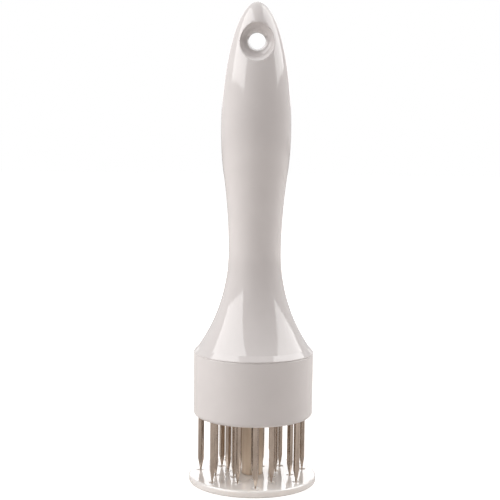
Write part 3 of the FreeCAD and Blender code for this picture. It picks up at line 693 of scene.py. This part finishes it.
# screws with a cross recess: the countersunk one in the post, and three in the collar
screwSizes = {
    "post": {"head": 3.6, "shank": 2.0, "bottom": 0.2, "top": 12.2, "headRound": 0.15, "point": 0.5,
             "roundSteps": 3},
    "collar": {"head": 2.4, "shank": 1.3, "bottom": 29.0, "headTop": 30.8, "top": 49.8,
               "headRound": 0.5, "underHead": 0.1, "point": 1.4, "roundSteps": 4},
    "recess": (0.6, 2.6, 1.0), "recessTaper": 0.8, "recessReach": 1.0, "turnStep": 20, "steps": 48,
}


def cutCross(piece, bottom):
    width, length, depth = screwSizes["recess"]
    reach, taper = screwSizes["recessReach"], screwSizes["recessTaper"]
    for sizes in ((width, length), (length, width)):
        tool = block("crossTool", (*sizes, depth + reach), (0, 0, bottom + depth / 2 - reach / 2))
        startEditing(tool, "FACE")
        selectWhere(tool, "faces", facesUp)                  # tapers to its bottom
        widen(taper, taper)
        stopEditing()
        cutOut(piece, tool)


def postScrewOutline(screw):
    return softOutline([
        (0, screw["bottom"]), (screw["head"], screw["bottom"], screw["headRound"]),
        (screw["shank"], screw["bottom"] + screw["head"] - screw["shank"]),
        (screw["shank"], screw["top"] - screw["point"]),
        (screw["shank"] - screw["point"], screw["top"]), (0, screw["top"])], screw["roundSteps"])


def collarScrewOutline(screw):
    return softOutline([
        (0, screw["bottom"]), (screw["head"], screw["bottom"], screw["headRound"]),
        (screw["head"], screw["headTop"], screw["underHead"]), (screw["shank"], screw["headTop"]),
        (screw["shank"], screw["top"] - screw["point"]), (0, screw["top"])], screw["roundSteps"])


postScrew = turnPiece("postScrew", postScrewOutline(screwSizes["post"]), screwSizes["steps"])
cutCross(postScrew, screwSizes["post"]["bottom"])
smooth(postScrew, 30)
finishPiece(postScrew, "presser", platedScrew, "plated_screw", "post_screw")

screw = turnPiece("screwPattern", collarScrewOutline(screwSizes["collar"]), screwSizes["steps"])
cutCross(screw, screwSizes["collar"]["bottom"])
smooth(screw, 30)
for number, (x, y, angle) in enumerate(screwPlaces(), start=1):
    twin = copyPiece(screw, f"collarScrew{number}")
    placePiece(twin, x, y, angle + screwSizes["turnStep"] * number)
    finishPiece(twin, "tool", platedScrew, "plated_screw", "collar_screws")
bpy.data.objects.remove(screw)
print("post and screws done")


# return spring: one open coil
springSizes = {"wire": 0.55, "coil": 5.6, "turns": 11, "stroke": 25.0, "steps": 32, "sides": 12}
springBottom, springTop = (corner[2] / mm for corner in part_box("return_spring"))
springLength = springTop - springBottom


def makeSpring(sizes):
    deselectAll()
    bpy.ops.mesh.primitive_circle_add(
        vertices=sizes["sides"], radius=sizes["wire"] * mm, rotation=(math.pi / 2, 0, 0),
        location=Vector((sizes["coil"], 0, springBottom + sizes["wire"])) * mm)
    coil = bpy.context.object
    coil.name = "returnSpring"
    settle(coil)
    applyModifier(coil, "SCREW", axis="Z", angle=math.tau, iterations=sizes["turns"],
                  screw_offset=(springLength - 2 * sizes["wire"]) / sizes["turns"] * mm,
                  steps=sizes["steps"], render_steps=sizes["steps"])
    startEditing(coil)
    bpy.ops.mesh.fill_holes(sides=sizes["sides"])            # closes the wire's two ends
    faceOutwards()
    stopEditing()
    smooth(coil, 40)
    return coil


spring = makeSpring(springSizes)
finishPiece(spring, "tool", springSteel, "spring_steel", "return_spring")
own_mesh(spring)
print("spring done, length", round(springLength, 2))


# the other pieces inside keep their own solids, in better materials
innerFinishes = {
    "clamp_disc": whiteDisc, "spring_washer": springSteel, "retaining_ring": springSteel,
}
for node, material in innerFinishes.items():
    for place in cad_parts[node].material_slots:
        place.material = material
print("inner pieces finished")


# floor and surroundings: a bright studio that is dimmer behind the camera
stageSizes = {
    "floor": 6.0, "drop": 0.02, "grain": 2.0,
    "nearGlow": 0.72, "farGlow": 1.0, "glowStart": 0.05, "glowEnd": 0.45,
    "glossyShare": 0.15, "diffuseShare": 0.2, "patch": 0.026, "patchGlow": 4.0,
}


def maths(tree, operation, *values):
    return addNode(tree, "ShaderNodeMath", dict(enumerate(values)), operation=operation).outputs[0]


# how brightly the floor glows for each kind of ray
def floorGlow(tree):
    place = addNode(tree, "ShaderNodeTexCoord").outputs["Object"]
    away = addNode(tree, "ShaderNodeVectorMath", {0: place}, operation="LENGTH").outputs["Value"]
    glow = addNode(tree, "ShaderNodeMapRange",
                   {"Value": away, "From Min": stageSizes["glowStart"], "From Max": stageSizes["glowEnd"],
                    "To Min": stageSizes["nearGlow"], "To Max": stageSizes["farGlow"]}).outputs["Result"]
    rays = addNode(tree, "ShaderNodeLightPath").outputs
    glossy = maths(tree, "MULTIPLY", rays["Is Glossy Ray"], stageSizes["glossyShare"])
    soft = maths(tree, "MULTIPLY", rays["Is Diffuse Ray"], stageSizes["diffuseShare"])
    # painted glow: the floor under the plate glows more for diffuse rays and so lights the plate's body
    # from below
    below = maths(tree, "LESS_THAN", away, stageSizes["patch"])
    below = maths(tree, "MULTIPLY_ADD", below, stageSizes["patchGlow"], 1.0)
    soft = maths(tree, "MULTIPLY", soft, below)
    seen = maths(tree, "MAXIMUM", rays["Is Camera Ray"], glossy)
    seen = maths(tree, "MAXIMUM", seen, soft)
    seen = maths(tree, "MAXIMUM", seen, rays["Is Transmission Ray"])
    return maths(tree, "MULTIPLY", glow, seen)


def makeFloor():
    deselectAll()
    bpy.ops.mesh.primitive_plane_add(size=stageSizes["floor"], location=(0, 0, -stageSizes["drop"] * mm))
    floor = bpy.context.object
    floor.name = "studioFloor"
    settle(floor)
    # matt paper: an even pale surface with a barely seen grain
    material = bpy.data.materials.new("paleFloorPaper")
    material.use_nodes = True
    tree = material.node_tree
    tree.nodes.remove(tree.nodes["Principled BSDF"])
    colour = shades(tree, spots(tree, stageSizes["grain"]), "#c6c0bc", "#cac5c1")
    paper = addNode(tree, "ShaderNodeBsdfDiffuse", {"Color": colour})
    white = addNode(tree, "ShaderNodeEmission", {"Strength": floorGlow(tree)})
    both = addNode(tree, "ShaderNodeAddShader", {0: paper.outputs[0], 1: white.outputs[0]})
    tree.links.new(both.outputs[0], tree.nodes["Material Output"].inputs["Surface"])
    floor.data.materials.append(material)


worldSizes = {
    "dim": (0.045, 0.033, 0.034, 1), "bright": (1, 1, 1, 1),
    "behindStart": -0.1, "behindEnd": 0.95, "backLight": 0.3, "backGleam": 0.6,
}


def makeSurroundings():
    world = bpy.data.worlds.new("studio")
    bpy.context.scene.world = world
    world.use_nodes = True
    tree = world.node_tree
    direction = addNode(tree, "ShaderNodeTexCoord").outputs["Generated"]
    depth = addNode(tree, "ShaderNodeSeparateXYZ", {0: direction}).outputs["Y"]
    behind = addNode(tree, "ShaderNodeMapRange",
                     {"Value": depth, "From Min": worldSizes["behindStart"],
                      "From Max": worldSizes["behindEnd"], "To Min": 0.0, "To Max": 1.0}).outputs["Result"]
    rays = addNode(tree, "ShaderNodeLightPath").outputs
    share = addNode(tree, "ShaderNodeMapRange",
                    {"Value": rays["Is Glossy Ray"], "To Min": worldSizes["backLight"],
                     "To Max": worldSizes["backGleam"]}).outputs["Result"]
    lit = maths(tree, "MULTIPLY", behind, share)
    seen = maths(tree, "MAXIMUM", rays["Is Camera Ray"], rays["Is Transmission Ray"])
    seen = maths(tree, "MAXIMUM", seen, lit)
    colour = addNode(tree, "ShaderNodeMix", {0: seen, 6: worldSizes["dim"], 7: worldSizes["bright"]},
                     data_type="RGBA").outputs[2]
    tree.links.new(colour, tree.nodes["Background"].inputs["Color"])


# soft boxes that face the object, at azimuths from the front and heights in degrees
softBoxes = {
    "softBoxLeft": {"azimuth": -71, "elevation": 41, "width": 1.32, "height": 1.12, "watts": 16.4},
    "softBoxRight": {"azimuth": 101, "elevation": 41, "width": 1.10, "height": 1.12, "watts": 12.8},
    "softBoxBack": {"azimuth": 180, "elevation": 20, "width": 1.3, "height": 0.6, "watts": 2.3},
}
softBoxDistance = 1.2
softBoxTarget = Vector((0, 0, 0.07))


def makeSoftBox(name, azimuth, elevation, width, height, watts):
    deselectAll()
    side, up = math.radians(azimuth), math.radians(elevation)
    out = Vector((math.sin(side) * math.cos(up), -math.cos(side) * math.cos(up), math.sin(up)))
    bpy.ops.object.light_add(type="AREA", location=softBoxTarget + out * softBoxDistance)
    lamp = bpy.context.object
    lamp.name = name
    lamp.rotation_euler = out.to_track_quat("Z", "Y").to_euler()
    lamp.data.shape = "RECTANGLE"
    lamp.data.size = width
    lamp.data.size_y = height
    lamp.data.energy = watts


makeFloor()
makeSurroundings()
for name, sizes in softBoxes.items():
    makeSoftBox(name, **sizes)
print("studio made")


# camera in front, a little above the middle of the object
cameraSizes = {
    "distance": 0.5, "height": 0.15065, "tilt": 6.025, "heading": 0.202, "roll": 0.643,
    "lens": 86.99, "sensor": 36, "shift": -0.001, "nearest": 0.01,
}
bpy.ops.object.camera_add()
camera = bpy.context.object
camera.data.sensor_width = cameraSizes["sensor"]
camera.data.lens = cameraSizes["lens"]
camera.data.shift_x = cameraSizes["shift"]
camera.data.clip_start = cameraSizes["nearest"]
camera.matrix_world = (
    Matrix.Translation((0, -cameraSizes["distance"], cameraSizes["height"]))
    @ Matrix.Rotation(math.radians(cameraSizes["heading"]), 4, "Z")
    @ Matrix.Rotation(math.radians(90 - cameraSizes["tilt"]), 4, "X")
    @ Matrix.Rotation(math.radians(cameraSizes["roll"]), 4, "Z"))
scene = bpy.context.scene
scene.camera = camera
scene.view_settings.view_transform = "Standard"

print("scene ready")
